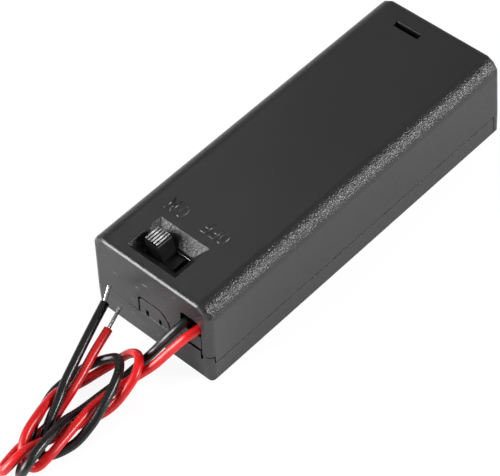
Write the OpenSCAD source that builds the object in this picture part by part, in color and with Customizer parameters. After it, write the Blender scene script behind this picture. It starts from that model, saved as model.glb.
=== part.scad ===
// Two-cell battery box: a pair of AAA cells side by side under a one-piece
// case, with a slide switch in a bevelled well, a cover that hooks over the
// far end wall, plated contacts and a pair of stranded leads.
// The box rests on its cover, the leads leave at the -Y end, +Z is up.

/* [Box] */
// Overall length of the box
body_length = 70; // [69:0.5:76]
// Overall width of the box
body_width = 25; // [24.8:0.1:28]
// Overall height of the box
body_height = 16.2; // [16:0.1:19]
// Height of the parting line along the sides
side_split = 4; // [3.6:0.1:4.4]
// Height of the parting line across the front end
front_split = 5.5; // [5.2:0.1:5.8]
// Inward lean of the end faces above the parting line, degrees
end_lean = 2.8; // [0.5:0.1:3.5]
// Radius along the two long top edges
long_r = 2.8; // [2:0.1:3.2]
// Radius along the top edges of the two ends
end_r = 0.8; // [0.6:0.1:1.2]
// Radius of the upright corners
corner_r = 1.4; // [1:0.1:1.8]
// Radius along the bottom edges
foot_r = 0.4; // [0.2:0.1:0.6]

/* [Walls] */
// Side wall thickness
wall = 1.2; // [1:0.1:1.4]
// Roof thickness
roof = 1.3; // [1.1:0.1:1.5]
// End wall thickness
end_wall = 1.8; // [1.7:0.1:2.2]
// Thickness of the cover floor
cover_floor = 1.2; // [1:0.1:1.4]
// Thickness of the cover front wall, its tongue and its tab
skin = 0.95; // [0.8:0.05:1]
// Open joint between cover and case
seam = 0.2; // [0.12:0.02:0.3]

/* [Cells] */
// Cell diameter
cell_d = 10.5; // [10:0.1:10.6]
// Cell length
cell_len = 44.5; // [44:0.1:45]
// Thickness of the rib between the two cells
mid_rib = 0.8; // [0.7:0.1:1.2]
// Clearance around each cell
cell_fit = 0.15; // [0.1:0.05:0.3]

/* [Switch] */
// Sideways offset of the switch from the middle of the box
switch_x = -1.3; // [-1.6:0.1:-1]
// Distance of the switch behind the front end
switch_back = 6.3; // [6:0.1:6.8]
// Length of the switch frame
switch_len = 12.7; // [12.2:0.1:13]
// Width of the switch frame
switch_wid = 6.4; // [6.2:0.1:6.6]
// Travel of the knob
knob_travel = 2.8; // [2.2:0.1:3]
// Length of the ribbed knob top
knob_len = 2.8; // [2.2:0.1:3]
// Width of the knob
knob_wid = 3; // [2.4:0.1:3.2]
// Height of the knob above the roof
knob_rise = 0.8; // [0.2:0.1:1.2]
// Number of grip ribs on the knob
knob_ribs = 5; // [4:1:6]
// Running clearance of the knob in the frame
knob_fit = 0.08; // [0.04:0.01:0.1]

/* [Latch and leads] */
// Height of the latch tongue above the front parting line
tongue_rise = 3.3; // [2.8:0.1:3.5]
// Gap around the latch tongue
tongue_gap = 0.35; // [0.25:0.05:0.4]
// Diameter of the insulated leads
lead_d = 1.5; // [1.3:0.1:1.6]
// Diameter of the tinned strands
strand_d = 0.7; // [0.5:0.1:0.8]
// Wire of the conical springs
spring_wire = 0.55; // [0.5:0.05:0.6]
// Free height of the conical springs
spring_free = 6.4; // [5.5:0.1:6.8]

/* [Build] */
// Which piece to show

/* [Hidden] */
$fn = 48;
hl = body_length / 2;
hw = body_width / 2;
top = body_height;
in_x = hw - wall;
in_y = hl - end_wall;
in_z = top - roof;
lift = 0.02;
far_y = in_y;
cover_far = far_y - 0.15;
skin_y = -hl + skin;
lip_y = skin_y + seam;
sw_y = -hl + switch_back;
plate_t = 0.4;
plate_gap = 0.3;
groove = 0.05;
bay_x = (in_x + mid_rib / 2) / 2;
cell_z = in_z - 0.4 - cell_d / 2;
cradle_r = cell_d / 2 + cell_fit;
bay_y = far_y - cell_len - 5.2;
part_t = 1.2;
plate_x0 = mid_rib / 2 + 0.6;
plate_x1 = in_x - 0.6;
plate_z0 = side_split + 0.9;
plate_z1 = in_z - 0.9;
frame_top = top - 2.6;
frame_t = 0.4;
well_z = top - 1.9;
pad_z = frame_top + 0.3;
win_x0 = switch_x - 4.1;
win_x1 = switch_x + 3.25;
knob_x0 = switch_x - 3.6;
knob_top = top + knob_rise;
knob_x1 = knob_x0 + knob_len;
base_top = frame_top - 3.5;
base_t = 1.3;
pin_pitch = 3;
hole_x0 = 6.45;
hole_x1 = 10.75;
hole_z0 = front_split + 4.05;
hole_z1 = hole_z0 + 2.85;
lug_y = bay_y - part_t - 2.4;
lug_x = 4;
lug_z = plate_z0 + plate_t;
bump_r = 2.4;
bump_tip_r = 1.8;
link_d = 1.2;
solder_r = 0.7;
link_solder_r = 0.6;
pin_end = base_top - base_t - 3.4;
joint_z = pin_end + 0.8;
joint_y = sw_y + 1.22;
hook_x = 7;
hook_w = 2.8;

// ---- shared shapes ----

module rounded_box_outline(w, h, rt, rb) {
    translate([-w / 2, rb]) square([w, h - rt - rb]);
    translate([-w / 2 + rb, 0]) square([w - 2 * rb, h - rt]);
    translate([-w / 2 + rt, rb]) square([w - 2 * rt, h - rb]);
    for (s = [-1, 1]) {
        translate([s * (w / 2 - rb), rb]) circle(r = rb);
        translate([s * (w / 2 - rt), h - rt]) circle(r = rt);
    }
}

// centre of the end radius, measured from the middle of the box
end_cy = hl - (end_r + (top - end_r - side_split) * sin(end_lean)) / cos(end_lean);
end_ty = end_cy + end_r * cos(end_lean);
end_tz = top - end_r + end_r * sin(end_lean);

module end_outline() {
    polygon([[-hl + foot_r, 0], [hl - foot_r, 0], [hl, foot_r], [hl, side_split], [end_ty, end_tz],
        [end_cy, top], [-end_cy, top], [-end_ty, end_tz], [-hl, side_split], [-hl, foot_r]]);
    for (s = [-1, 1]) {
        translate([s * end_cy, top - end_r]) circle(r = end_r);
        translate([s * (hl - foot_r), foot_r]) circle(r = foot_r);
    }
}

// what a rounded edge along Z at the origin takes off a square one
module edge_cut(r) {
    linear_extrude(height = 70, center = true) difference() {
        translate([-r, -r]) square([r + 2, r + 2]);
        translate([-r, -r]) circle(r = r);
    }
}

// one end corner: cut along the tangent that stands at angle a on the long top radius
module corner_cut(a, r, lean) {
    z = top - long_r + long_r * sin(a);
    translate([hw - long_r + (long_r + lift) * cos(a), hl - (z - side_split) * tan(lean) + lift, z])
        rotate([0, -a, 0])
        rotate([atan(tan(lean) * cos(a)), 0, 0])
        edge_cut(r);
}

module envelope() {
    difference() {
        intersection() {
            rotate([90, 0, 0]) linear_extrude(height = body_length + 4, center = true)
                rounded_box_outline(body_width, top, long_r, foot_r);
            rotate([90, 0, 90]) linear_extrude(height = body_width + 4, center = true) end_outline();
        }
        for (sx = [0, 1]) for (sy = [0, 1]) mirror([sx, 0, 0]) mirror([0, sy, 0]) {
            corner_cut(0, corner_r, 0);
            corner_cut(0, corner_r, end_lean);
            corner_cut(30, corner_r - 0.15, end_lean);
            corner_cut(60, corner_r - 0.35, end_lean);
        }
    }
}

module box(x0, x1, y0, y1, z0, z1) {
    translate([x0, y0, z0]) cube([x1 - x0, y1 - y0, z1 - z0]);
}

// latch tongue outline seen on the front face, grown by g
module tongue_outline(g) {
    z0 = front_split - 1;
    z1 = front_split + tongue_rise + g;
    x0 = -2.45 - g;
    x1 = 3.75 + g;
    rs = 0.5 + g;
    rl = 2.6 + g;
    translate([x0, z0]) square([x1 - x0, z1 - rl - z0]);
    translate([x0, z0]) square([x1 - x0 - rl, z1 - rs - z0]);
    translate([x0 + rs, z0]) square([x1 - x0 - rl - rs, z1 - z0]);
    translate([x0 + rs, z1 - rs]) circle(r = rs);
    translate([x1 - rl, z1 - rl]) circle(r = rl);
}

// lead hole outline seen on the front face, open downward to height z0
module hole_outline(z0, x0, x1) {
    ra = 0.5;
    rb = 1.3;
    translate([x0, z0]) square([x1 - x0, hole_z1 - rb - z0]);
    translate([x0, z0]) square([x1 - x0 - rb, hole_z1 - ra - z0]);
    translate([x0 + ra, z0]) square([x1 - x0 - ra - rb, hole_z1 - z0]);
    translate([x0 + ra, hole_z1 - ra]) circle(r = ra);
    translate([x1 - rb, hole_z1 - rb]) circle(r = rb);
}

// an outline on the front face pushed through from y0 to y1
module front_cut(y0, y1) {
    translate([0, y1, 0]) rotate([90, 0, 0]) linear_extrude(height = y1 - y0) children();
}

// ---- case ----

module switch_well() {
    y0 = sw_y - 3.8;
    y1 = sw_y + 3.7;
    d = top - well_z;
    intersection() {
        translate([0, y1 + 4, 0]) rotate([90, 0, 0]) linear_extrude(height = y1 - y0 + 8)
            polygon([[win_x0, well_z], [win_x1, well_z], [win_x1 + d + 1, top + 1],
                [win_x0 - (d + 1) * 0.53, top + 1]]);
        translate([win_x0 - 6, 0, 0]) rotate([90, 0, 90]) linear_extrude(height = win_x1 - win_x0 + 12)
            polygon([[y0 + d, well_z], [y1 - d, well_z], [y1 + 1, top + 1], [y0 - 1, top + 1]]);
    }
    box(win_x0, win_x1, y0 + d, y1 - d, pad_z - 0.5, well_z + 0.05);
}

module case_shell() {
    difference() {
        envelope();
        box(-hw - 1, hw + 1, -hl - 1, far_y, -1, side_split + seam / 2);
        box(-hw - 1, hw + 1, -hl - 1, lip_y, -1, front_split + seam / 2);
        box(-in_x, in_x, -in_y, far_y, -1, in_z);
        // latch tongue recess and lead hole
        front_cut(-hl - 1, lip_y) tongue_outline(tongue_gap);
        front_cut(-hl - 1, lip_y) hole_outline(front_split - 1, hole_x0, hole_x1);
        front_cut(-hl - 1, -in_y + 1) hole_outline(hole_z0, hole_x0, hole_x1);
        // slot over the far contact
        translate([-3.75, hl - 4.8, in_z - 1]) linear_extrude(height = roof + 3) {
            square([5.3, 0.65], center = true);
            square([4.8, 1.15], center = true);
            for (sx = [-1, 1]) for (sy = [-1, 1]) translate([sx * 2.4, sy * 0.325]) circle(r = 0.25);
        }
        // hook pockets in the far wall
        for (s = [-1, 1])
            box(s * hook_x - hook_w / 2 - 0.2, s * hook_x + hook_w / 2 + 0.2, far_y - 1, far_y + 1.1, 0.7, 2.4);
    }
}

module cradle_rib(y) {
    difference() {
        box(-in_x - 0.3, in_x + 0.3, y - 0.5, y + 0.5, cell_z, in_z + 0.3);
        for (s = [-1, 1])
            translate([s * bay_x, y + 1, cell_z]) rotate([90, 0, 0]) cylinder(r = cradle_r, h = 2);
    }
}

module plate_guides(y0, y1) {
    for (s = [-1, 1]) {
        box(s > 0 ? plate_x1 - 0.7 : -in_x - 0.3, s > 0 ? in_x + 0.3 : -plate_x1 + 0.7, y0, y1, plate_z0, in_z + 0.3);
    }
}

module case() {
    color([0.2, 0.2, 0.21]) difference() {
        union() {
            case_shell();
            // inner lip behind the cover front wall
            box(-in_x + 0.2, in_x - 0.2, lip_y, -in_y + 0.05, cover_floor + 0.5, front_split + 1);
            // inner lip along both sides
            for (s = [-1, 1]) {
                box(s > 0 ? in_x - 0.7 : -in_x + 0.15, s > 0 ? in_x - 0.15 : -in_x + 0.7, -in_y + 3, far_y - 3.5, side_split - 1.4,
                    side_split + 1);
                box(s > 0 ? in_x - 0.7 : -in_x - 0.3, s > 0 ? in_x + 0.3 : -in_x + 0.7, -in_y + 3, far_y - 3.5,
                    side_split + seam / 2, side_split + 1);
            }
            // partition between the cells and the switch
            box(-in_x - 0.3, in_x + 0.3, bay_y - part_t, bay_y, side_split + 0.6, in_z + 0.3);
            // rib between the cells
            box(-mid_rib / 2, mid_rib / 2, bay_y - 0.3, far_y - 4.5, side_split + 0.6, in_z + 0.3);
            for (k = [0.23, 0.5, 0.77]) cradle_rib(bay_y + k * (far_y - bay_y));
            // guides in front of the far plate and the two near plates
            plate_guides(far_y - plate_gap - plate_t - groove - 0.8, far_y - plate_gap - plate_t - groove);
            plate_guides(bay_y + plate_gap + plate_t + groove, bay_y + plate_gap + plate_t + groove + 0.8);
            // floor of the switch well
            box(switch_x - 7.2, switch_x + 7.2, -in_y - 0.3, sw_y + 4.8, pad_z, in_z + 0.3);
            // cradle at both ends of the switch frame
            box(switch_x - switch_len / 2 - 1.3, switch_x - switch_len / 2 - 0.1, sw_y - 2.6, sw_y + 2.6, base_top - 2, in_z);
            box(switch_x + switch_len / 2 + 0.1, switch_x + switch_len / 2 + 0.9, sw_y - 2.6, sw_y + 2.6, base_top - 2, in_z);
            // two hooks that hold the frame up
            box(switch_x - switch_len / 2 - 1.3, switch_x - switch_len / 2 + 0.4, sw_y - 1.6, sw_y + 1.6, base_top - 2.6,
                base_top - base_t - 0.1);
            box(switch_x + switch_len / 2 - 0.4, switch_x + switch_len / 2 + 0.9, sw_y - 1.6, sw_y + 1.6, base_top - 2.6,
                base_top - base_t - 0.1);
            // post between the two leads
            translate([(hole_x0 + hole_x1) / 2, sw_y + 0.4, base_top - 5]) cylinder(r = 0.75, h = in_z - base_top + 5.3);
        }
        switch_well();
        // notches for the plate lugs
        for (s = [-1, 1])
            box(s * lug_x - 1.2, s * lug_x + 1.2, bay_y - part_t - 0.3, bay_y + 0.1, side_split, plate_z0 + plate_t + 0.3);
    }
}

// ---- cover ----

module cover() {
    color([0.21, 0.21, 0.22]) {
        difference() {
            union() {
                intersection() {
                    envelope();
                    union() {
                        box(-hw - 1, hw + 1, -hl - 1, cover_far, -1, side_split - seam / 2);
                        box(-hw - 1, hw + 1, -hl - 1, skin_y, -1, front_split - seam / 2);
                        front_cut(-hl - 1, skin_y) tongue_outline(0);
                        front_cut(-hl - 1, skin_y) intersection() {
                            hole_outline(front_split - 1, hole_x0 + 0.15, hole_x1 - 0.15);
                            translate([0, 0]) square([20, hole_z0 - 0.1]);
                        }
                    }
                }
                // hooks that reach into the far wall
                for (s = [-1, 1])
                    box(s * hook_x - hook_w / 2, s * hook_x + hook_w / 2, cover_far - 1, cover_far + 1, 0.8, 1.8);
            }
            box(-in_x, in_x, skin_y, cover_far - 1.2, cover_floor, top);
            // rounded lower edge that the cover turns on
            translate([0, cover_far, 0]) rotate([0, 90, 0]) edge_cut(foot_r);
            // root line and relief marks of the latch tongue
            box(-2.5, 3.8, -hl - 1, -hl + 0.12, front_split, front_split + 0.14);
            box(-1.15, -0.55, -hl - 1, -hl + 0.65, front_split + 0.02, front_split + 1.4);
            box(1.6, 2.2, -hl - 1, -hl + 0.65, front_split + 0.02, front_split + 1.3);
            // slot at the root of the lead tab
            box(hole_x0 + 1.1, hole_x1 + 0.15, -hl - 1, -hl + 0.7, front_split + 0.55, front_split + 1.25);
            box(hole_x1 - 0.35, hole_x1 + 0.15, -hl - 1, -hl + 0.7, front_split - 1, front_split + 1.25);
        }
        // ribs under the cells
        for (s = [-1, 1]) {
            box(s * bay_x - 2.4, s * bay_x - 1.6, bay_y + 4, far_y - 5, cover_floor - 0.2, side_split - 1.2);
            box(s * bay_x + 1.6, s * bay_x + 2.4, bay_y + 4, far_y - 5, cover_floor - 0.2, side_split - 1.2);
        }
    }
}

// ---- slide switch ----

module switch_knob() {
    y0 = sw_y + 0.05 - knob_wid / 2;
    color([0.06, 0.06, 0.06]) {
        translate([0, y0 + knob_wid, 0]) rotate([90, 0, 0]) linear_extrude(height = knob_wid)
            polygon([[knob_x0, frame_top - 0.8], [knob_x1 + 0.9, frame_top - 0.8], [knob_x1 + 0.9, frame_top + 0.25],
                [knob_x1 + 0.1, knob_top - 0.45], [knob_x1, knob_top - 0.3], [knob_x0, knob_top - 0.3]]);
        for (k = [0:knob_ribs - 1])
            box(knob_x0 + (k + 0.22) * knob_len / knob_ribs, knob_x0 + (k + 0.78) * knob_len / knob_ribs, y0 + 0.02,
                y0 + knob_wid - 0.02, knob_top - 0.55, knob_top);
        // shield plate under the frame slot
        box(knob_x0 - 2.3, knob_x1 + 2.6, sw_y - 1.8, sw_y + 1.8, frame_top - 0.9, frame_top - 0.5);
        // slider block
        box(knob_x0 - 0.6, knob_x1 + 1.2, sw_y - 1.6, sw_y + 1.6, frame_top - 2.3, frame_top - 0.8);
    }
}

module switch_frame() {
    x0 = switch_x - switch_len / 2;
    x1 = switch_x + switch_len / 2;
    y0 = sw_y - switch_wid / 2;
    y1 = sw_y + switch_wid / 2;
    color([0.72, 0.72, 0.74]) difference() {
        box(x0, x1, y0, y1, base_top - base_t - 0.05, frame_top);
        box(x0 - 1, x1 + 1, y0 + frame_t, y1 - frame_t, 0, frame_top - frame_t);
        box(knob_x0 - 0.3, knob_x1 + 0.9 + knob_travel + 0.4, sw_y + 0.05 - knob_wid / 2 - knob_fit,
            sw_y + 0.05 + knob_wid / 2 + knob_fit, frame_top - 1, frame_top + 1);
    }
}

module switch_base() {
    w = switch_wid / 2 - frame_t - 0.06;
    color([0.35, 0.22, 0.12]) difference() {
        box(switch_x - switch_len / 2 + 0.2, switch_x + switch_len / 2 - 0.2, sw_y - w, sw_y + w, base_top - base_t, base_top);
        for (k = [-1:1])
            box(switch_x + k * pin_pitch - 0.8, switch_x + k * pin_pitch + 0.8, sw_y - 0.3, sw_y + 0.3, base_top - base_t - 1,
                base_top + 1);
    }
}

module terminal(k) {
    x = switch_x + k * pin_pitch;
    color([0.8, 0.78, 0.72]) {
        box(x - 0.75, x + 0.75, sw_y - 0.25, sw_y + 0.25, pin_end, base_top + 0.02);
        box(x - 1.2, x + 1.2, sw_y - 1.1, sw_y + 1.1, base_top + 0.01, base_top + 0.25);
    }
}

module terminal_on() {
    terminal(-1);
}

module terminal_common() {
    terminal(0);
}

module terminal_off() {
    terminal(1);
}

module switch_wiper() {
    x0 = knob_x0 - 0.3;
    x1 = x0 + 4.4;
    color([0.8, 0.55, 0.3]) {
        box(x0, x1, sw_y - 1.3, sw_y + 1.3, frame_top - 2.65, frame_top - 2.35);
        for (x = [x0 + 0.7, x1 - 0.7])
            translate([x, sw_y, base_top + 0.75]) rotate([90, 0, 0]) cylinder(r = 0.4, h = 2, center = true);
    }
}

// ---- contacts ----

module plate_face(x0, x1, y0) {
    box(x0, x1, y0, y0 + plate_t, plate_z0, plate_z1);
}

module bridge_plate() {
    y0 = far_y - plate_gap - plate_t;
    color([0.85, 0.84, 0.8]) {
        plate_face(-plate_x1, plate_x1, y0);
        translate([-bay_x, y0 + 0.1, cell_z]) rotate([90, 0, 0]) cylinder(r1 = bump_r, r2 = bump_tip_r, h = 0.7);
    }
}

module positive_plate() {
    y0 = bay_y + plate_gap;
    color([0.85, 0.84, 0.8]) {
        plate_face(plate_x0, plate_x1, y0);
        translate([bay_x, y0 + plate_t - 0.1, cell_z]) rotate([-90, 0, 0]) cylinder(r1 = bump_r, r2 = bump_tip_r, h = 0.7);
        box(lug_x - 0.9, lug_x + 0.9, lug_y, y0 + 0.1, plate_z0, plate_z0 + plate_t);
    }
}

module negative_plate() {
    y0 = bay_y + plate_gap;
    color([0.85, 0.84, 0.8]) {
        plate_face(-plate_x1, -plate_x0, y0);
        box(-lug_x - 0.9, -lug_x + 0.9, lug_y, y0 + 0.1, plate_z0, plate_z0 + plate_t);
    }
}

// ---- swept tubes ----

function unit(v) = v / norm(v);
function side_of(t) = unit(cross(t, abs(t[2]) < 0.95 ? [0, 0, 1] : [1, 0, 0]));
function tangent(p, i) = unit(p[min(i + 1, len(p) - 1)] - p[max(i - 1, 0)]);
function ring(c, t, r, m) = let (s = side_of(t), u = cross(s, t))
    [for (j = [0:m - 1]) c + r * (cos(360 * j / m) * s + sin(360 * j / m) * u)];

module tube(p, d, m) {
    n = len(p);
    pts = [for (i = [0:n - 1]) each ring(p[i], tangent(p, i), d / 2, m)];
    polyhedron(points = pts, faces = concat([[for (j = [0:m - 1]) j]],
        [for (i = [0:n - 2]) for (j = [0:m - 1])
            [i * m + j, (i + 1) * m + j, (i + 1) * m + (j + 1) % m, i * m + (j + 1) % m]],
        [[for (j = [m - 1:-1:0]) (n - 1) * m + j]]));
}

// conical spring along +Z: a closed turn, three free turns, a closed tip turn
function coil(k) = let (t = k / 48, r = 3.6 - 1.5 * t, a = 360 * 4 * t,
    z = t < 0.22 ? 0.3 * t : t > 0.84 ? 1 - 0.35 * (1 - t) : 0.066 + (t - 0.22) * (1 - 0.056 - 0.066) / 0.62)
    [r * cos(a), r * sin(a), spring_wire / 2 + 0.03 + z * (spring_free - spring_wire)];

module spring() {
    tube([for (k = [0:48]) coil(k)], spring_wire, 8);
}

module bridge_spring() {
    color([0.85, 0.84, 0.8]) translate([bay_x, far_y - plate_gap - plate_t, cell_z]) rotate([90, 0, 0]) spring();
}

module negative_spring() {
    color([0.85, 0.84, 0.8]) translate([-bay_x, bay_y + plate_gap + plate_t, cell_z]) rotate([-90, 0, 0]) spring();
}

// ---- leads: routes of the tube centres, solder joint to stripped end ----

black_route = [[-4, -20.3, 6.02], [-4, -21.2, 6.02], [-2.4, -22.8, 5.9], [1.6, -23.2, 6.3], [5, -24, 7.6],
    [6.7, -26.4, 9.4], [6.9, -29.6, 10.4], [7.3, -33.2, 10.6],
    [7.2, -35, 10.3], [6.2, -37.2, 8.6], [4.6, -39.1, 5.5], [3.1, -41.4, 2.9], [2.3, -44.6, 1.6],
    [1.7, -48.4, 1.1], [1.5, -52.5, 1.3], [1.9, -56.3, 2.8], [3.3, -60.2, 4.5], [4, -63.2, 4.9],
    [4.3, -65.8, 4.1], [3.8, -66.7, 2.5], [2.8, -66.4, 1], [1.7, -64.9, 0.75], [0.8, -62.9, 1.4],
    [-0.3, -61, 2.3], [-1.4, -59.4, 2.3], [-2.7, -57.6, 1], [-3.8, -55, 0.75], [-4.6, -51.9, 0.75],
    [-4.2, -48.8, 1.3], [-2.9, -45.8, 2.45], [-1.1, -44, 3.6], [0.8, -43.3, 4.6], [2.6, -44.7, 5],
    [4, -47.1, 5], [5, -50.6, 4], [5.3, -54, 2.3], [4.9, -57.6, 0.9], [3.8, -60.7, 0.75],
    [2.5, -61.9, 0.75], [1.6, -61, 0.9], [0.9, -59.7, 1.3], [0, -57.1, 2.8], [-1, -54.2, 3.9],
    [-2.3, -51.6, 4.3], [-3.6, -48, 5], [-5.2, -43.4, 5.9], [-6.9, -38.1, 7]];
red_route = [[-4.3, -27.4, 6.2], [-4.3, -26.5, 6.2], [-2.9, -25.5, 4.3], [0.5, -25.6, 2.5], [4, -25.8, 2.4],
    [7.6, -26, 3.4], [9.7, -27, 5.8], [10.4, -29.2, 8.6], [10.1, -32.2, 10.3],
    [9.8, -34.2, 10.4], [9, -36.4, 9.7], [7.6, -38.5, 7.5], [6.1, -40.9, 5], [4.5, -43.7, 3.3],
    [3.5, -47.4, 2.7], [3.2, -51.5, 2.7], [3.8, -55.6, 2.8], [4.4, -59.2, 2.8], [4.6, -62, 2.4],
    [4.1, -64.2, 1.6], [3.1, -65, 2.2], [1.4, -64.2, 2.5], [0.5, -63.2, 3.2], [-0.3, -61.5, 3.85],
    [-1, -59.2, 4], [-2.05, -56.2, 3.4], [-2.75, -53, 2.8], [-2.6, -50.1, 1.4], [-2.3, -47, 0.75],
    [-1.6, -43.8, 0.9], [-0.6, -41.8, 1.9], [1.1, -40.8, 3.7], [3.5, -41.4, 5.4], [5.4, -43.8, 5.5],
    [5.7, -46, 4.4], [5.1, -48.8, 2.2], [3.9, -51.4, 0.9], [2.7, -54.5, 0.75], [2.1, -56.6, 1.1],
    [2.5, -58.7, 2], [2.5, -61.4, 3.4], [2.2, -63.8, 4.1], [2, -66.1, 3.8], [1.2, -67.9, 2.2],
    [0, -67.5, 0.9], [-0.6, -65.5, 0.75], [-0.95, -62.4, 0.75], [-0.55, -58.7, 0.75], [-0.6, -56.4, 1],
    [-0.9, -54, 1.9], [-1.1, -51.6, 3], [-1.8, -48.7, 3.6], [-2.8, -44.9, 4.6], [-3.9, -40.6, 5.3]];
link_route = [[4, -20.3, 4.28], [4, -21.2, 4.28], [2.6, -23.6, 3.9], [0.6, -25, 4.4], [-0.9, -25.8, 5.5], [-1.3, -26.5, 6.2],
    [-1.3, -27.4, 6.2]];
// moves a route with the front end of the box
front_shift = 35 - hl;
function placed(p) = [for (q = p) [q[0], q[1] + front_shift, q[2]]];
// the same, with its first two points standing off a plate lug
function placed_from_lug(p) = [for (i = [0:len(p) - 1])
    [p[i][0], i < 2 ? lug_y - 0.2 - 0.9 * i : p[i][1] + front_shift, p[i][2]]];
function last(p) = p[len(p) - 1];

module red_lead() {
    color([0.85, 0.08, 0.08]) tube(placed(red_route), lead_d, 8);
}

module black_lead() {
    color([0.09, 0.09, 0.1]) tube(placed_from_lug(black_route), lead_d, 8);
}

module link_wire() {
    color([0.85, 0.08, 0.08]) tube(placed_from_lug(link_route), link_d, 8);
}

// bare strands, twisted and tinned, beyond the cut insulation
module tinned(p, q, r) {
    v = unit(q - p);
    color([0.8, 0.8, 0.8]) tube(placed([p + 0.03 * v, p + 0.5 * (q - p), q, r]), strand_d, 8);
}

module red_tinned_end() {
    tinned(last(red_route), [-4.5, -38.6, 5.7], [-5.1, -36.5, 6.2]);
}

module black_tinned_end() {
    tinned(last(black_route), [-7.5, -36.9, 7.7], [-7.9, -35.8, 8.7]);
}

module solder(x, y0, y1, z, r) {
    translate([x, y1, z]) rotate([90, 0, 0]) cylinder(r = r, h = y1 - y0);
}

module black_joint() {
    color([0.78, 0.78, 0.8]) solder(-lug_x, lug_y - 0.1, lug_y + 1.5, lug_z + solder_r + 0.02, solder_r);
}

module link_joint_plate() {
    color([0.78, 0.78, 0.8]) solder(lug_x, lug_y - 0.1, lug_y + 1.5, plate_z0 - link_solder_r - 0.02, link_solder_r);
}

module link_joint_switch() {
    color([0.78, 0.78, 0.8]) solder(switch_x, sw_y + 0.27, joint_y, joint_z, solder_r);
}

module red_joint() {
    color([0.78, 0.78, 0.8]) solder(switch_x - pin_pitch, sw_y + 0.27, joint_y, joint_z, solder_r);
}

// ---- nodes ----

case();
cover();
switch_knob();
switch_frame();
switch_base();
switch_wiper();
terminal_on();
terminal_common();
terminal_off();
bridge_plate();
bridge_spring();
positive_plate();
negative_plate();
negative_spring();
link_wire();
link_joint_plate();
link_joint_switch();
red_joint();
black_joint();
red_lead();
black_lead();
red_tinned_end();
black_tinned_end();
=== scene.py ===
"""Two-cell battery box with a slide switch and stranded leads: the looks, built round the CAD frame."""

import math
import random

import bpy
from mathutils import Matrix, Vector


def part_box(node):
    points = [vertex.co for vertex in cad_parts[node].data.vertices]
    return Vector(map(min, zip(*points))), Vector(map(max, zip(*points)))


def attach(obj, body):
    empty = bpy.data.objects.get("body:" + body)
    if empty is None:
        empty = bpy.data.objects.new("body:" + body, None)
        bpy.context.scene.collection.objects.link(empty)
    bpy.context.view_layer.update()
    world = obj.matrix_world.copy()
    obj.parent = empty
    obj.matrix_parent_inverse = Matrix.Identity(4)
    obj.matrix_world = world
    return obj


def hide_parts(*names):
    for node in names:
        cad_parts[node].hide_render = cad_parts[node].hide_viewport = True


MM = 0.001
BEVEL_SAMPLES = 4


def mm(*xyz):
    """A point given in millimetres, in metres."""
    return Vector(xyz) * MM


def linear(hex_colour):
    """An sRGB hex colour as linear RGBA."""
    channels = [int(hex_colour[i : i + 2], 16) / 255 for i in (1, 3, 5)]
    return (*[c / 12.92 if c <= 0.04045 else ((c + 0.055) / 1.055) ** 2.4 for c in channels], 1.0)


# ---------------------------------------------------------------- camera

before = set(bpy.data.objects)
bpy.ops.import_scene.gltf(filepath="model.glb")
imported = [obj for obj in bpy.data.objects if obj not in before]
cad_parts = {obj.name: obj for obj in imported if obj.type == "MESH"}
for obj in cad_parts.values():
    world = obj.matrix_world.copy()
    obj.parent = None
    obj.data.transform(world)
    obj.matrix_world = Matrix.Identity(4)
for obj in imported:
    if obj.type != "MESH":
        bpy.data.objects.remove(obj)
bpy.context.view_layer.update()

camera_data = bpy.data.cameras.new("camera")
camera_data.lens = 162.383  # a long lens, so the box is seen with little perspective
camera_data.sensor_width = 36
camera_data.clip_start = 0.02
camera_data.clip_end = 10
camera = bpy.data.objects.new("camera", camera_data)
bpy.context.scene.collection.objects.link(camera)
camera.location = (0.16899, -0.17358, 0.27586)
camera.rotation_euler = [math.radians(a) for a in (40.6339, 3.1125, 42.7898)]
bpy.context.scene.camera = camera
bpy.context.scene.view_settings.view_transform = "Standard"


# ---------------------------------------------------------------- nodes


def fill(tree, node, links):
    """Sets or links a node's inputs. Each link is (input, source), and a source is a value, an output socket
    or a node, which stands for its first output."""
    for socket, source in links:
        if isinstance(source, bpy.types.Node):
            source = source.outputs[0]
        if isinstance(source, bpy.types.NodeSocket):
            tree.links.new(source, node.inputs[socket])
        else:
            node.inputs[socket].default_value = source


def add(tree, kind, links=(), **settings):
    """Adds a node. Settings are its properties, and links are as in fill."""
    made = tree.nodes.new(kind)
    for key, value in settings.items():
        setattr(made, key, value)
    fill(tree, made, links)
    return made


def new_material(name):
    """A material with its node tree and its shader node."""
    material = bpy.data.materials.new(name)
    material.use_nodes = True
    tree = material.node_tree
    return material, tree, tree.nodes["Principled BSDF"]


# ---------------------------------------------------------------- materials

# A noise's scale is its number of waves to a length, so 4 / MM is a pattern about 0.25 mm across.
# Inputs 6 and 7 and output 2 of a mix node are its colours.


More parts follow.
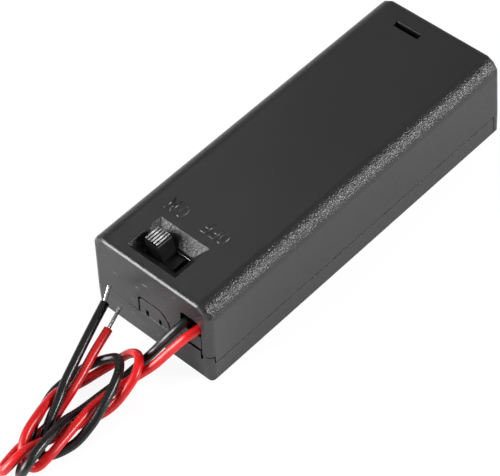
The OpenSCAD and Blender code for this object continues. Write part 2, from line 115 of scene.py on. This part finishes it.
def moulded_plastic(name, dark, pale, grain=1.0, scratches=True):
    """Black polystyrene from a spark-eroded mould: the flats were stoned to an even satin, the slopes and
    rounded edges keep a grain that breaks their reflections into specks, and the front end has a few hair
    scratches."""
    material, tree, shader = new_material(name)
    coordinates = add(tree, "ShaderNodeTexCoord").outputs
    place = coordinates["Object"]
    # the real erosion grain is about 0.05 mm across; drawn at 0.25 mm so that it can be seen
    fine = add(tree, "ShaderNodeTexNoise", [("Vector", place), ("Scale", 4 / MM), ("Detail", 1.0)])
    # uneven stoning, about 0.7 mm across, and a slow change of shade over about 11 mm
    coarse = add(tree, "ShaderNodeTexNoise", [("Vector", place), ("Scale", 1.4 / MM), ("Detail", 3.0),
                 ("Roughness", 0.55)])
    cloud = add(tree, "ShaderNodeTexNoise", [("Vector", place), ("Scale", 0.09 / MM), ("Detail", 3.0),
                ("Roughness", 0.6)])

    # how far a face leans away from all three axes: 0 on the flats, 1 on slopes and rounded edges
    facing = add(tree, "ShaderNodeVectorMath", [(0, coordinates["Normal"])], operation="ABSOLUTE")
    facing = add(tree, "ShaderNodeSeparateXYZ", [("Vector", facing)]).outputs
    squareness = add(tree, "ShaderNodeMath", [(0, facing["X"]), (1, facing["Y"])], operation="MAXIMUM")
    squareness = add(tree, "ShaderNodeMath", [(0, squareness), (1, facing["Z"])], operation="MAXIMUM")
    slope = add(tree, "ShaderNodeMapRange", [("Value", squareness), ("From Min", 0.999), ("From Max", 0.96)])

    # the front end leans a little too, but it was stoned like the flats
    depth = add(tree, "ShaderNodeSeparateXYZ", [("Vector", place)]).outputs["Y"]
    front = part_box("case")[0].y
    behind_front = add(tree, "ShaderNodeMapRange", [("Value", depth), ("From Min", front + 0.7 * MM),
                       ("From Max", front + 1.5 * MM), ("To Min", 0.12)])
    grainy = add(tree, "ShaderNodeMath", [(0, slope), (1, behind_front)], operation="MULTIPLY")
    texture = add(tree, "ShaderNodeMapRange", [("Value", grainy), ("To Min", 0.07 * grain),
                  ("To Max", 0.55 * grain)])

    tone = add(tree, "ShaderNodeMapRange", [("Value", cloud), ("From Min", 0.3), ("From Max", 0.7)])
    shade = add(tree, "ShaderNodeMix", [("Factor", tone), (6, linear(dark)), (7, linear(pale))],
                data_type="RGBA").outputs[2]
    if scratches:
        # short hair lines, 1 to 2 mm long, only on the front end
        stretched = add(tree, "ShaderNodeMapping", [("Vector", place), ("Rotation", (0.0, 0.35, 0.0)),
                        ("Scale", (0.42 / MM, 0.3 / MM, 3.6 / MM))])
        hairs = add(tree, "ShaderNodeTexNoise", [("Vector", stretched), ("Scale", 1.0), ("Detail", 1.0)])
        hairs = add(tree, "ShaderNodeMapRange", [("Value", hairs), ("From Min", 0.745), ("From Max", 0.78)])
        on_front = add(tree, "ShaderNodeMapRange", [("Value", depth), ("From Min", front + 1.0 * MM),
                       ("From Max", front + 0.5 * MM)])
        hairs = add(tree, "ShaderNodeMath", [(0, hairs), (1, on_front)], operation="MULTIPLY")
        shade = add(tree, "ShaderNodeMix", [("Factor", hairs), (6, shade), (7, linear("#868689"))],
                    data_type="RGBA").outputs[2]

    height = add(tree, "ShaderNodeMath", [(0, coarse), (1, 0.15), (2, fine)], operation="MULTIPLY_ADD")
    rounded = add(tree, "ShaderNodeBevel", [("Radius", 0.12 * MM)], samples=BEVEL_SAMPLES)
    bump = add(tree, "ShaderNodeBump", [("Strength", texture), ("Distance", 0.3 * MM), ("Height", height),
               ("Normal", rounded)])
    satin = add(tree, "ShaderNodeMapRange", [("Value", coarse), ("From Min", 0.3), ("From Max", 0.7),
                ("To Min", 0.3), ("To Max", 0.38)])
    gloss = add(tree, "ShaderNodeMath", [(0, slope), (1, -0.04), (2, satin)], operation="MULTIPLY_ADD")
    fill(tree, shader, [("Base Color", shade), ("Roughness", gloss), ("IOR", 1.59), ("Normal", bump)])
    return material


def cord_pvc(name, dark, pale, rough):
    """Extruded PVC insulation: smooth and slightly waxy, faintly mottled, with a soft bright streak on it."""
    material, tree, shader = new_material(name)
    place = add(tree, "ShaderNodeTexCoord").outputs["Object"]
    # colour that changes over about 4 mm, and a waxy mottle about 0.7 mm across
    cloud = add(tree, "ShaderNodeTexNoise", [("Vector", place), ("Scale", 0.26 / MM), ("Detail", 3.0),
                ("Roughness", 0.6)])
    mottle = add(tree, "ShaderNodeTexNoise", [("Vector", place), ("Scale", 1.5 / MM), ("Detail", 2.0)])
    tone = add(tree, "ShaderNodeMapRange", [("Value", cloud), ("From Min", 0.35), ("From Max", 0.65)])
    shade = add(tree, "ShaderNodeMix", [("Factor", tone), (6, linear(dark)), (7, linear(pale))],
                data_type="RGBA").outputs[2]
    bump = add(tree, "ShaderNodeBump", [("Strength", 0.12), ("Distance", 0.08 * MM), ("Height", mottle)])
    gloss = add(tree, "ShaderNodeMapRange", [("Value", mottle), ("From Min", 0.3), ("From Max", 0.7),
                ("To Min", rough - 0.04), ("To Max", rough + 0.1)])
    fill(tree, shader, [("Base Color", shade), ("Roughness", gloss), ("IOR", 1.52), ("Normal", bump)])
    return material


def plated_metal(name, colour, second, rough, grain=0.2, pattern=5.4 / MM, round_off=0.0):
    """Stamped and plated sheet or wire: metal with rolling marks, faint tarnish clouds and a satin polish.
    Where round_off is given, its punched edges are rolled over and catch the light."""
    material, tree, shader = new_material(name)
    place = add(tree, "ShaderNodeTexCoord").outputs["Object"]
    # tarnish clouds about 3 mm across, and rolling marks that run along X, about 0.2 mm apart on sheet
    cloud = add(tree, "ShaderNodeTexNoise", [("Vector", place), ("Scale", 0.32 / MM), ("Detail", 4.0),
                ("Roughness", 0.6)])
    stretched = add(tree, "ShaderNodeMapping", [("Vector", place), ("Scale", (0.15, 1.0, 1.0))])
    rolled = add(tree, "ShaderNodeTexNoise", [("Vector", stretched), ("Scale", pattern), ("Detail", 2.0),
                 ("Roughness", 0.6)])
    tone = add(tree, "ShaderNodeMapRange", [("Value", cloud), ("From Min", 0.35), ("From Max", 0.7)])
    shade = add(tree, "ShaderNodeMix", [("Factor", tone), (6, linear(colour)), (7, linear(second))],
                data_type="RGBA").outputs[2]
    bump = add(tree, "ShaderNodeBump", [("Strength", grain), ("Distance", 0.04 * MM), ("Height", rolled)])
    if round_off:
        rounded = add(tree, "ShaderNodeBevel", [("Radius", round_off)], samples=BEVEL_SAMPLES)
        fill(tree, bump, [("Normal", rounded)])
    gloss = add(tree, "ShaderNodeMapRange", [("Value", cloud), ("From Min", 0.3), ("From Max", 0.7),
                ("To Min", rough - 0.05), ("To Max", rough + 0.12)])
    fill(tree, shader, [("Base Color", shade), ("Metallic", 1.0), ("Roughness", gloss), ("Normal", bump)])
    return material


def pressed_laminate(name):
    """Paper and phenolic resin board: brown, half matt, streaked along its paper layers."""
    material, tree, shader = new_material(name)
    place = add(tree, "ShaderNodeTexCoord").outputs["Object"]
    # paper layers about 0.15 mm thick, and a fibre pattern about 0.7 mm across
    layered = add(tree, "ShaderNodeMapping", [("Vector", place), ("Scale", (0.2, 0.2, 3.0))])
    streak = add(tree, "ShaderNodeTexNoise", [("Vector", layered), ("Scale", 2.4 / MM), ("Detail", 4.0),
                 ("Roughness", 0.65)])
    fibre = add(tree, "ShaderNodeTexNoise", [("Vector", place), ("Scale", 1.4 / MM), ("Detail", 3.0),
                ("Roughness", 0.6)])
    tone = add(tree, "ShaderNodeMapRange", [("Value", streak), ("From Min", 0.35), ("From Max", 0.65)])
    shade = add(tree, "ShaderNodeMix", [("Factor", tone), (6, linear("#5a3a1e")), (7, linear("#7b5430"))],
                data_type="RGBA").outputs[2]
    bump = add(tree, "ShaderNodeBump", [("Strength", 0.2), ("Distance", 0.05 * MM), ("Height", fibre)])
    gloss = add(tree, "ShaderNodeMapRange", [("Value", fibre), ("From Min", 0.3), ("From Max", 0.7),
                ("To Min", 0.4), ("To Max", 0.6)])
    fill(tree, shader, [("Base Color", shade), ("Roughness", gloss), ("IOR", 1.55), ("Normal", bump)])
    return material


def thumbed_plastic(name, ridge_top):
    """The black acetal of a slide knob: satin, with its rib tops rubbed to a polish by the thumb."""
    material, tree, shader = new_material(name)
    place = add(tree, "ShaderNodeTexCoord").outputs["Object"]
    # a faint mottle about 1 mm across
    cloud = add(tree, "ShaderNodeTexNoise", [("Vector", place), ("Scale", 0.9 / MM), ("Detail", 3.0),
                ("Roughness", 0.6)])
    height = add(tree, "ShaderNodeSeparateXYZ", [("Vector", place)]).outputs["Z"]
    rubbed = add(tree, "ShaderNodeMapRange", [("Value", height), ("From Min", ridge_top - 0.35 * MM),
                 ("From Max", ridge_top - 0.15 * MM)])
    shade = add(tree, "ShaderNodeMix", [("Factor", cloud), (6, linear("#060607")), (7, linear("#0a0a0b"))],
                data_type="RGBA").outputs[2]
    bump = add(tree, "ShaderNodeBump", [("Strength", 0.1), ("Distance", 0.05 * MM), ("Height", cloud)])
    satin = add(tree, "ShaderNodeMapRange", [("Value", cloud), ("From Min", 0.3), ("From Max", 0.7),
                ("To Min", 0.36), ("To Max", 0.46)])
    gloss = add(tree, "ShaderNodeMath", [(0, rubbed), (1, -0.27), (2, satin)], operation="MULTIPLY_ADD")
    fill(tree, shader, [("Base Color", shade), ("Roughness", gloss), ("IOR", 1.48), ("Normal", bump)])
    return material


case_plastic = moulded_plastic("case_plastic", "#101011", "#151517")
lettering_plastic = moulded_plastic("lettering_plastic", "#101011", "#151517", grain=0.4, scratches=False)
cover_plastic = moulded_plastic("cover_plastic", "#111112", "#161618")
knob_plastic = thumbed_plastic("knob_plastic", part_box("switch_knob")[1].z)
red_pvc = cord_pvc("red_pvc", "#bc0408", "#cc0a10", 0.28)
black_pvc = cord_pvc("black_pvc", "#040405", "#080809", 0.25)
tinned_copper = plated_metal("tinned_copper", "#e9e8e6", "#cfcdc9", 0.2, grain=0.15)
switch_steel = plated_metal("switch_steel", "#b9babd", "#9a9a9c", 0.25, round_off=0.18 * MM)
spring_bronze = plated_metal("spring_bronze", "#c98f55", "#a8713d", 0.3)
tinned_brass = plated_metal("tinned_brass", "#c9c2ae", "#b2a68a", 0.32)
nickel_steel = plated_metal("nickel_steel", "#d2cfc6", "#b8b4aa", 0.22)
solder_alloy = plated_metal("solder", "#bfc0c3", "#9d9ea1", 0.28, grain=0.35, pattern=1.8 / MM)
laminate = pressed_laminate("laminate")

NODE_FINISH = {
    "case": (case_plastic, "case_plastic"),
    "cover": (cover_plastic, "cover_plastic"),
    "switch_knob": (knob_plastic, "knob_plastic"),
    "switch_frame": (switch_steel, "switch_steel"),
    "switch_base": (laminate, "laminate"),
    "switch_wiper": (spring_bronze, "spring_bronze"),
    "terminal_on": (tinned_brass, "tinned_brass"),
    "terminal_common": (tinned_brass, "tinned_brass"),
    "terminal_off": (tinned_brass, "tinned_brass"),
    "bridge_plate": (nickel_steel, "nickel_steel"),
    "positive_plate": (nickel_steel, "nickel_steel"),
    "negative_plate": (nickel_steel, "nickel_steel"),
    "link_joint_plate": (solder_alloy, "solder"),
    "link_joint_switch": (solder_alloy, "solder"),
    "red_joint": (solder_alloy, "solder"),
    "black_joint": (solder_alloy, "solder"),
}
for node_name, (material, slot_name) in NODE_FINISH.items():
    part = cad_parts[node_name]
    part.data.materials.clear()
    part.data.materials.append(material)


# ---------------------------------------------------------------- leads

# centre lines in millimetres, from the solder joint inside the box to the cut end of the insulation
BLACK_ROUTE = [
    (-4, -20.3, 6.02), (-4, -21.2, 6.02), (-2.4, -22.8, 5.9), (1.6, -23.2, 6.3), (5, -24, 7.6),
    (6.7, -26.4, 9.4), (6.9, -29.6, 10.4), (7.3, -33.2, 10.6), (7.2, -35, 10.3), (6.2, -37.2, 8.6),
    (4.6, -39.1, 5.5), (3.1, -41.4, 2.9), (2.3, -44.6, 1.6), (1.7, -48.4, 1.1), (1.5, -52.5, 1.3),
    (1.9, -56.3, 2.8), (3.3, -60.2, 4.5), (4, -63.2, 4.9), (4.3, -65.8, 4.1), (3.8, -66.7, 2.5),
    (2.8, -66.4, 1), (1.7, -64.9, 0.75), (0.8, -62.9, 1.4), (-0.3, -61, 2.3), (-1.4, -59.4, 2.3),
    (-2.7, -57.6, 1), (-3.8, -55, 0.75), (-4.6, -51.9, 0.75), (-4.2, -48.8, 1.3), (-2.9, -45.8, 2.45),
    (-1.1, -44, 3.6), (0.8, -43.3, 4.6), (2.6, -44.7, 5), (4, -47.1, 5), (5, -50.6, 4), (5.3, -54, 2.3),
    (4.9, -57.6, 0.9), (3.8, -60.7, 0.75), (2.5, -61.9, 0.75), (1.6, -61, 0.9), (0.9, -59.7, 1.3),
    (0, -57.1, 2.8), (-1, -54.2, 3.9), (-2.3, -51.6, 4.3), (-3.6, -48, 5), (-5.2, -43.4, 5.9),
    (-6.9, -38.1, 7),
]
RED_ROUTE = [
    (-4.3, -27.4, 6.2), (-4.3, -26.5, 6.2), (-2.9, -25.5, 4.3), (0.5, -25.6, 2.5), (4, -25.8, 2.4),
    (7.6, -26, 3.4), (9.7, -27, 5.8), (10.4, -29.2, 8.6), (10.1, -32.2, 10.3), (9.8, -34.2, 10.4),
    (9, -36.4, 9.7), (7.6, -38.5, 7.5), (6.1, -40.9, 5), (4.5, -43.7, 3.3), (3.5, -47.4, 2.7),
    (3.2, -51.5, 2.7), (3.8, -55.6, 2.8), (4.4, -59.2, 2.8), (4.6, -62, 2.4), (4.1, -64.2, 1.6),
    (3.1, -65, 2.2), (1.4, -64.2, 2.5), (0.5, -63.2, 3.2), (-0.3, -61.5, 3.85), (-1, -59.2, 4),
    (-2.05, -56.2, 3.4), (-2.75, -53, 2.8), (-2.6, -50.1, 1.4), (-2.3, -47, 0.75), (-1.6, -43.8, 0.9),
    (-0.6, -41.8, 1.9), (1.1, -40.8, 3.7), (3.5, -41.4, 5.4), (5.4, -43.8, 5.5), (5.7, -46, 4.4),
    (5.1, -48.8, 2.2), (3.9, -51.4, 0.9), (2.7, -54.5, 0.75), (2.1, -56.6, 1.1), (2.5, -58.7, 2),
    (2.5, -61.4, 3.4), (2.2, -63.8, 4.1), (2, -66.1, 3.8), (1.2, -67.9, 2.2), (0, -67.5, 0.9),
    (-0.6, -65.5, 0.75), (-0.95, -62.4, 0.75), (-0.55, -58.7, 0.75), (-0.6, -56.4, 1), (-0.9, -54, 1.9),
    (-1.1, -51.6, 3), (-1.8, -48.7, 3.6), (-2.8, -44.9, 4.6), (-3.9, -40.6, 5.3),
]
# from the positive plate to the switch
LINK_ROUTE = [
    (4, -20.3, 4.28), (4, -21.2, 4.28), (2.6, -23.6, 3.9), (0.6, -25, 4.4), (-0.9, -25.8, 5.5),
    (-1.3, -26.5, 6.2), (-1.3, -27.4, 6.2),
]
# the bare strands, from inside the end of the insulation to their cut tips
RED_TIP = [(-3.72, -41.2, 5.2), (-4.5, -38.6, 5.7), (-5.1, -36.6, 6.15)]
BLACK_TIP = [(-6.75, -38.5, 6.75), (-7.5, -36.9, 7.7), (-7.88, -35.9, 8.6)]
LEAD_D = 1.5 * MM
LINK_D = 1.2 * MM


def insulated_wire(name, route, diameter, material):
    """A round wire along smooth bends through the route's points."""
    curve = bpy.data.curves.new(name, "CURVE")
    curve.dimensions = "3D"
    curve.resolution_u = 10
    curve.bevel_depth = diameter / 2
    curve.bevel_resolution = 5
    curve.use_fill_caps = True
    line = curve.splines.new("BEZIER")
    line.bezier_points.add(len(route) - 1)
    for i, (point, place) in enumerate(zip(line.bezier_points, route)):
        point.co = mm(*place)
        before = mm(*route[max(i - 1, 0)])
        after = mm(*route[min(i + 1, len(route) - 1)])
        reach_back, reach_on = (point.co - before).length / 3, (after - point.co).length / 3
        along = (after - before).normalized()
        # a wire that lies on the floor runs level there, so that no bend dips under it
        steepest = (point.co.z - diameter / 2) / max(reach_back, reach_on)
        along.z = max(-steepest, min(steepest, along.z))
        point.handle_left_type = point.handle_right_type = "FREE"
        point.handle_left = point.co - along * reach_back
        point.handle_right = point.co + along * reach_on
    wire = bpy.data.objects.new(name, curve)
    bpy.context.scene.collection.objects.link(wire)
    curve.materials.append(material)
    return wire


def link_mesh(name, points, faces, material):
    """A smooth-shaded mesh object from points in metres."""
    mesh = bpy.data.meshes.new(name)
    mesh.from_pydata([tuple(p) for p in points], [], faces)
    mesh.materials.append(material)
    mesh.polygons.foreach_set("use_smooth", [True] * len(mesh.polygons))
    mesh.update()
    made = bpy.data.objects.new(name, mesh)
    bpy.context.scene.collection.objects.link(made)
    return made


def along_path(path, share):
    """The point and direction at a share of the way along a smooth line through a list of points."""
    at = share * (len(path) - 1)
    i = min(int(at), len(path) - 2)
    t = at - i
    a, b, c, d = (path[max(0, min(len(path) - 1, i + k))] for k in (-1, 0, 1, 2))
    square, cube = 2 * a - 5 * b + 4 * c - d, 3 * b - a - 3 * c + d
    point = 0.5 * (2 * b + (c - a) * t + square * t * t + cube * t**3)
    way = 0.5 * ((c - a) + 2 * square * t + 3 * cube * t * t)
    return point, way.normalized()


def sweep(centres, radius, sides):
    """Points and faces of a round rod through a list of centres, its ends drawn in and closed."""
    askew = Vector((0.31, 0.2, 0.93))  # no rod here runs along it
    drawn_in = 0.55
    points, faces = [], []
    for i, centre in enumerate(centres):
        way = (centres[min(i + 1, len(centres) - 1)] - centres[max(i - 1, 0)]).normalized()
        across = way.cross(askew).normalized()
        up = way.cross(across)
        size = radius * (drawn_in if i in (0, len(centres) - 1) else 1.0)
        for j in range(sides):
            angle = 2 * math.pi * j / sides
            points.append(centre + size * (math.cos(angle) * across + math.sin(angle) * up))
    for i in range(len(centres) - 1):
        for j in range(sides):
            k = (j + 1) % sides
            faces.append((i * sides + j, i * sides + k, (i + 1) * sides + k, (i + 1) * sides + j))
    faces.append(tuple(reversed(range(sides))))
    faces.append(tuple((len(centres) - 1) * sides + j for j in range(sides)))
    return points, faces


STRANDS = 7  # six round a straight core
STRAND_R = 0.105 * MM
LAY_R = 0.215 * MM
STRAND_STEPS = 32
STRAND_SIDES = 7
FRAY_START = 0.6


def twisted_strands(name, path, seed, turns, fray):
    """Seven tinned strands laid up like a rope, fraying towards the cut tip."""
    rng = random.Random(seed)
    path = [mm(*p) for p in path]
    points, faces = [], []
    for k in range(STRANDS):
        phase = 2 * math.pi * k / (STRANDS - 1)
        reach = 1.0 - 0.1 * rng.random()
        stray = rng.uniform(0.0, fray) * MM
        bow = rng.uniform(-0.8, 0.8)
        centres = []
        for i in range(STRAND_STEPS + 1):
            share = reach * i / STRAND_STEPS
            centre, way = along_path(path, share)
            across = way.cross(Vector((0, 0, 1))).normalized()
            up = way.cross(across)
            open_out = max(0.0, share - FRAY_START) / (1.0 - FRAY_START)
            out = 0.0 if k == STRANDS - 1 else LAY_R + stray * open_out**2
            angle = phase + 2 * math.pi * turns * share + bow * open_out
            centres.append(centre + out * (math.cos(angle) * across + math.sin(angle) * up))
        strand_points, strand_faces = sweep(centres, STRAND_R, STRAND_SIDES)
        faces += [tuple(v + len(points) for v in face) for face in strand_faces]
        points += strand_points
    return link_mesh(name, points, faces, tinned_copper)


red_lead = insulated_wire("red_insulated_lead", RED_ROUTE, LEAD_D, red_pvc)
black_lead = insulated_wire("black_insulated_lead", BLACK_ROUTE, LEAD_D, black_pvc)
link_wire = insulated_wire("link_insulated_wire", LINK_ROUTE, LINK_D, red_pvc)
red_strands = twisted_strands("red_lead_strands", RED_TIP, seed=4, turns=1.6, fray=0.16)
black_strands = twisted_strands("black_lead_strands", BLACK_TIP, seed=9, turns=1.3, fray=0.36)

for piece, node_name, slot_name in (
    (red_lead, "red_lead", "red_pvc"),
    (black_lead, "black_lead", "black_pvc"),
    (link_wire, "link_wire", "red_pvc"),
    (red_strands, "red_tinned_end", "tinned_copper"),
    (black_strands, "black_tinned_end", "tinned_copper"),
):
    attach(piece, "case")
    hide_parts(node_name)


# ---------------------------------------------------------------- lettering

# letter strokes as lines, in millimetres from the letter's lower left corner
STROKES = {
    "O": [[(0.8 + 0.62 * math.cos(a * math.pi / 12), 1.3 + 1.12 * math.sin(a * math.pi / 12))
           for a in range(25)]],
    "N": [[(0.18, 0), (0.18, 2.6)], [(0.18, 2.45), (1.42, 0.15)], [(1.42, 0), (1.42, 2.6)]],
    "F": [[(0.18, 0), (0.18, 2.6)], [(0.1, 2.4), (1.35, 2.4)], [(0.1, 1.35), (1.1, 1.35)]],
}
STROKE_HALF = 0.22
TOP_SHARE = 0.35  # how much of a stroke's width is its flat top
LETTER_RISE = 0.17
LETTER_ROOT = -0.05  # the strokes start a little inside the roof
STROKE_LIFT = 0.004  # each next stroke of a letter lies this much higher, so that no two tops share a plane


def raised_stroke(line, lift):
    """Points and faces, in letter millimetres, of one raised stroke: flat on top with sloping sides."""
    edge, top = STROKE_HALF, STROKE_HALF * TOP_SHARE
    section = ((-edge, LETTER_ROOT), (-top, LETTER_RISE), (top, LETTER_RISE), (edge, LETTER_ROOT))
    points, faces = [], []
    for i, (u, v) in enumerate(line):
        before, after = Vector(line[max(i - 1, 0)]), Vector(line[min(i + 1, len(line) - 1)])
        if line[0] == line[-1] and i in (0, len(line) - 1):
            before, after = Vector(line[-2]), Vector(line[1])
        way = (after - before).normalized()
        side = Vector((-way.y, way.x))
        for offset, height in section:
            points.append((u + side.x * offset, v + side.y * offset, height + lift))
    row = len(section)
    for i in range(len(line) - 1):
        for j in range(row - 1):
            faces.append((i * row + j, i * row + j + 1, (i + 1) * row + j + 1, (i + 1) * row + j))
    # both ends are closed, and the underside stays open inside the roof
    last = row * (len(line) - 1)
    faces.append((0, 3, 2, 1))
    faces.append((last, last + 1, last + 2, last + 3))
    return points, faces


def raised_word(name, word, x_start, y_base, advance):
    """Raised lettering on the roof, its tops towards the front end. Its place is in millimetres."""
    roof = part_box("case")[1].z
    points, faces = [], []
    for n, letter in enumerate(word):
        for k, line in enumerate(STROKES[letter]):
            stroke_points, stroke_faces = raised_stroke(line, STROKE_LIFT * k)
            faces += [tuple(v + len(points) for v in face) for face in stroke_faces]
            points += [Vector(((x_start - n * advance - u) * MM, (y_base - v) * MM, roof + z * MM))
                       for u, v, z in stroke_points]
    made = link_mesh(name, points, faces, lettering_plastic)
    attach(made, "case")


raised_word("lettering_on", "ON", x_start=-3.7, y_base=-20.8, advance=2.2)
raised_word("lettering_off", "OFF", x_start=4.8, y_base=-20.7, advance=1.75)


# ---------------------------------------------------------------- springs


def spring_tree():
    """Geometry nodes for a conical wire spring standing on its wide end."""
    tree = bpy.data.node_groups.new("conical_spring", "GeometryNodeTree")
    tree.interface.new_socket("Geometry", in_out="INPUT", socket_type="NodeSocketGeometry")
    for name, kind in (
        ("Turns", "NodeSocketFloat"),
        ("Base Radius", "NodeSocketFloat"),
        ("Tip Radius", "NodeSocketFloat"),
        ("Free Height", "NodeSocketFloat"),
        ("Wire Radius", "NodeSocketFloat"),
        ("Place", "NodeSocketVector"),
        ("Turn", "NodeSocketVector"),
        ("Metal", "NodeSocketMaterial"),
    ):
        tree.interface.new_socket(name, in_out="INPUT", socket_type=kind)
    tree.interface.new_socket("Geometry", in_out="OUTPUT", socket_type="NodeSocketGeometry")
    given = add(tree, "NodeGroupInput").outputs
    spiral = add(tree, "GeometryNodeCurveSpiral", [("Resolution", 40), ("Rotations", given["Turns"]),
                 ("Start Radius", given["Base Radius"]), ("End Radius", given["Tip Radius"]),
                 ("Height", given["Free Height"])])
    wire = add(tree, "GeometryNodeCurvePrimitiveCircle", [("Resolution", 12),
               ("Radius", given["Wire Radius"])])
    rod = add(tree, "GeometryNodeCurveToMesh", [("Curve", spiral), ("Profile Curve", wire),
              ("Fill Caps", True)])
    placed = add(tree, "GeometryNodeTransform", [("Geometry", rod), ("Translation", given["Place"]),
                 ("Rotation", given["Turn"])])
    real = add(tree, "GeometryNodeRealizeInstances", [("Geometry", placed)])
    smooth = add(tree, "GeometryNodeSetShadeSmooth", [("Geometry", real)])
    metal = add(tree, "GeometryNodeSetMaterial", [("Geometry", smooth), ("Material", given["Metal"])])
    add(tree, "NodeGroupOutput", [("Geometry", metal)])
    return tree


def conical_spring(name, tree, place, turn):
    """One spring as a plain mesh."""
    holder = bpy.data.objects.new(name, bpy.data.meshes.new(name))
    bpy.context.scene.collection.objects.link(holder)
    builder = holder.modifiers.new("spring", "NODES")
    builder.node_group = tree
    values = {"Turns": 4.0, "Base Radius": 3.6 * MM, "Tip Radius": 2.1 * MM, "Free Height": 5.8 * MM,
              "Wire Radius": SPRING_WIRE_R, "Place": place, "Turn": turn, "Metal": nickel_steel}
    for item in tree.interface.items_tree:
        if item.in_out == "INPUT" and item.name in values:
            builder[item.identifier] = values[item.name]
    bpy.context.view_layer.update()
    shaped = holder.evaluated_get(bpy.context.evaluated_depsgraph_get())
    mesh = bpy.data.meshes.new_from_object(shaped)
    holder.modifiers.remove(builder)
    holder.data = mesh
    holder.data.name = name
    return holder


SPRING_WIRE_R = 0.275 * MM
spring_nodes = spring_tree()
far_low, far_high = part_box("bridge_spring")
near_low, near_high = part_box("negative_spring")
far_axis = (far_low + far_high) / 2
near_axis = (near_low + near_high) / 2
SEATED = 0.3 * MM  # from a plate's face to the middle of the first turn
far_seat = (far_axis.x, far_high.y - SEATED, far_axis.z)
near_seat = (near_axis.x, near_low.y + SEATED, near_axis.z)
far_spring = conical_spring("far_conical_spring", spring_nodes, far_seat, (math.radians(90), 0, 0))
near_spring = conical_spring("near_conical_spring", spring_nodes, near_seat, (math.radians(-90), 0, 0))
for piece, node_name in ((far_spring, "bridge_spring"), (near_spring, "negative_spring")):
    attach(piece, "case")
    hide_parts(node_name)


# ---------------------------------------------------------------- floor and light


def seen_share(tree, in_view, in_gloss):
    """How far a background is bleached to white: in the camera's view, and in a glossy or clear surface."""
    rays = add(tree, "ShaderNodeLightPath").outputs
    gloss = add(tree, "ShaderNodeMath", [(0, rays["Is Glossy Ray"]), (1, rays["Is Transmission Ray"])],
                operation="MAXIMUM")
    gloss = add(tree, "ShaderNodeMath", [(0, gloss), (1, in_gloss)], operation="MULTIPLY")
    view = add(tree, "ShaderNodeMath", [(0, rays["Is Camera Ray"]), (1, in_view)], operation="MULTIPLY")
    return add(tree, "ShaderNodeMath", [(0, view), (1, gloss)], operation="MAXIMUM")


floor_mesh = bpy.data.meshes.new("floor")
FLOOR_HALF = 4
FLOOR_DROP = 0.02 * MM  # keeps the floor clear of the cover's underside
corners = [(x * FLOOR_HALF, y * FLOOR_HALF, 0) for x, y in ((-1, -1), (1, -1), (1, 1), (-1, 1))]
floor_mesh.from_pydata(corners, [], [(0, 1, 2, 3)])
floor = bpy.data.objects.new("floor", floor_mesh)
floor.location.z = -FLOOR_DROP
bpy.context.scene.collection.objects.link(floor)
floor_material, floor_tree, floor_shader = new_material("white_sweep")
fill(floor_tree, floor_shader, [
    ("Base Color", (0.9, 0.9, 0.9, 1)),
    ("Roughness", 0.9),
    ("Specular IOR Level", 0.1),
])
# seen by the camera the sweep is blown out to white and keeps only a trace of the shadow
glow = add(floor_tree, "ShaderNodeEmission", [("Strength", 1.05)])
bleached = add(floor_tree, "ShaderNodeMixShader", [("Fac", seen_share(floor_tree, 0.86, 0.25)),
               (1, floor_shader), (2, glow)])
fill(floor_tree, floor_tree.nodes["Material Output"], [("Surface", bleached)])
floor_mesh.materials.append(floor_material)

world = bpy.data.worlds.new("studio")
bpy.context.scene.world = world
world.use_nodes = True
sky_tree = world.node_tree
sky = sky_tree.nodes["Background"]
fill(sky_tree, sky, [("Color", (1, 1, 1, 1)), ("Strength", 0.25)])
white = add(sky_tree, "ShaderNodeBackground", [("Color", (1, 1, 1, 1)), ("Strength", 1.0)])
joined = add(sky_tree, "ShaderNodeMixShader", [("Fac", seen_share(sky_tree, 1.0, 0.12)),
             (1, sky), (2, white)])
fill(sky_tree, sky_tree.nodes["World Output"], [("Surface", joined)])


def softbox(name, direction, distance, size, power, aim=(0, -0.01, 0.008), size_y=None):
    """An area light aimed at the box from a direction."""
    data = bpy.data.lights.new(name, "AREA")
    data.shape = "RECTANGLE"
    data.size = size
    data.size_y = size_y or size
    data.energy = power
    lamp = bpy.data.objects.new(name, data)
    bpy.context.scene.collection.objects.link(lamp)
    way = Vector(direction).normalized()
    lamp.location = Vector(aim) + way * distance
    lamp.rotation_euler = way.to_track_quat("Z", "Y").to_euler()


softbox("key_softbox", (-0.50, -0.80, 0.31), distance=0.6, size=0.5, power=9.6, aim=(-0.01, -0.04, 0))
softbox("edge_softbox", (0.76, 0.45, 0.47), distance=0.6, size=0.32, power=3.6, size_y=0.12)
softbox("top_softbox", (0.1, 0.1, 1.0), distance=0.9, size=0.7, power=0.25)

# a small lamp where the camera sees it mirrored in the polished rib tops of the knob
RIB_DEPTH = 0.05 * MM
knob_points = [v.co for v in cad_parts["switch_knob"].data.vertices]
rib_top = max(p.z for p in knob_points)
rib_points = [p for p in knob_points if p.z > rib_top - RIB_DEPTH]
rib_centre = sum(rib_points, Vector()) / len(rib_points)
seen_from = (camera.location - rib_centre).normalized()
mirrored = (-seen_from.x, -seen_from.y, seen_from.z)
softbox("knob_spot", mirrored, distance=0.7, size=0.024, power=0.068, aim=rib_centre)
